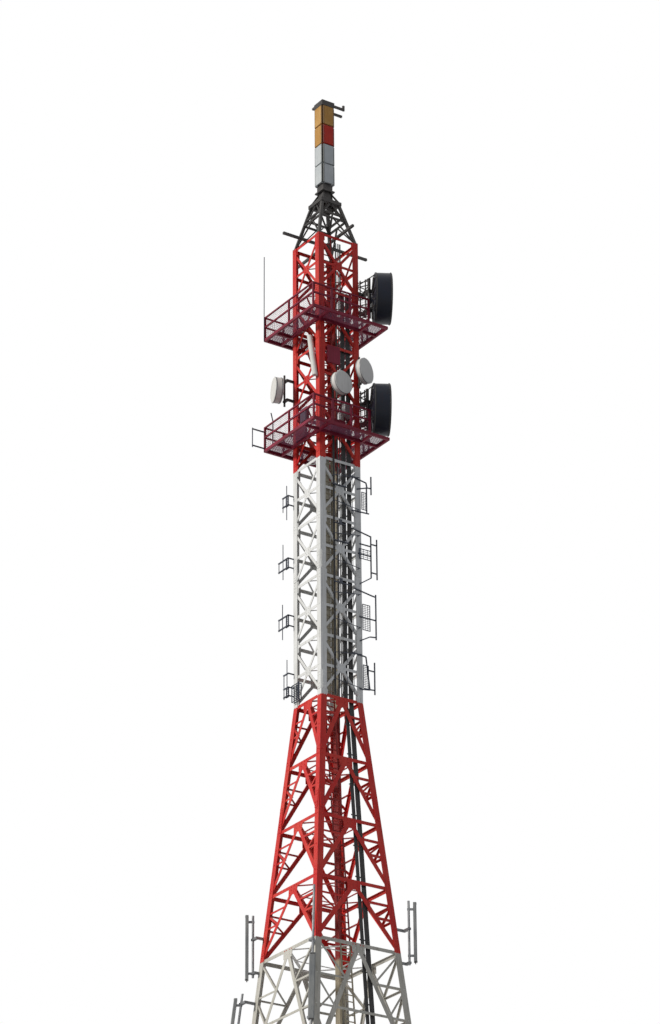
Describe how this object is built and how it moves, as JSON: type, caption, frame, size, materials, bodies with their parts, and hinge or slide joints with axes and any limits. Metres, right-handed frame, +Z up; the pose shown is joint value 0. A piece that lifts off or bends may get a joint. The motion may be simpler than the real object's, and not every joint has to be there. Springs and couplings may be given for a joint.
{
  "type": "cell tower, scale model at 1:2",
  "caption": "Square lattice telecom tower in red and white bands with railed platforms, drum aerials, dishes and a panel aerial column, as a half-size model.",
  "frame": {"origin": "middle of the underside of the front left footing, at ground level", "axes": "+Z up the tower, +X along the front side to the right, +Y from the front side to the back"},
  "size_m": [4.62, 4.62, 32.979],
  "materials": {
    "cable_black": "black cable jacket",
    "dark_steel": "dark weathered steel",
    "drum_grey": "dark blue-grey shroud paint",
    "floor_mesh": "expanded metal floor, seen pinkish grey",
    "galvanised": "dull hot-dip galvanised steel",
    "panel_ochre": "satin ochre glass-fibre cover",
    "panel_red": "satin orange-red glass-fibre cover",
    "panel_white": "satin white glass-fibre cover",
    "radome_white": "matt white dish cover",
    "red_paint": "semi-gloss, faded red-orange tower paint",
    "sector_grey": "blue-grey aerial cover",
    "white_paint": "semi-gloss, slightly yellowed white tower paint"
  },
  "bodies": {
    "root": {"aerial_core": "dark_steel", "cabinets": "red_paint", "dish_mounts": "dark_steel", "feeder_cables": "cable_black", "foot_back_lattice": "red_paint", "foot_front_lattice": "red_paint", "foot_left_lattice": "red_paint", "foot_legs": "red_paint", "foot_right_lattice": "red_paint", "footings": "galvanised", "grey_panels": "sector_grey", "ladder": "galvanised", "lamp_arms": "galvanised", "left_dish": "radome_white", "lower_back_lattice": "white_paint", "lower_deck": "red_paint", "lower_drum": "drum_grey", "lower_floor": "floor_mesh", "lower_front_lattice": "white_paint", "lower_left_lattice": "white_paint", "lower_legs": "white_paint", "lower_railing": "red_paint", "lower_right_lattice": "white_paint", "middle_dish": "radome_white", "neck": "galvanised", "ochre_panels": "panel_ochre", "outriggers": "galvanised", "red_level_frames": "red_paint", "red_mast_back_lattice": "red_paint", "red_mast_front_lattice": "red_paint", "red_mast_left_lattice": "red_paint", "red_mast_legs": "red_paint", "red_mast_right_lattice": "red_paint", "red_panels": "panel_red", "right_dish": "radome_white", "riser_cables": "cable_black", "riser_tray": "galvanised", "sector_panels": "sector_grey", "sector_poles": "galvanised", "side_aerials": "dark_steel", "slanted_tube": "radome_white", "small_dish": "sector_grey", "spire": "galvanised", "taper_back_lattice": "red_paint", "taper_front_lattice": "red_paint", "taper_left_lattice": "red_paint", "taper_legs": "red_paint", "taper_right_lattice": "red_paint", "upper_deck": "red_paint", "upper_drum": "drum_grey", "upper_floor": "floor_mesh", "upper_railing": "red_paint", "whip_aerials": "galvanised", "white_level_frames": "white_paint", "white_mast_back_lattice": "white_paint", "white_mast_front_lattice": "white_paint", "white_mast_left_lattice": "white_paint", "white_mast_legs": "white_paint", "white_mast_right_lattice": "white_paint", "white_panels": "panel_white"}
  },
  "joints": []
}
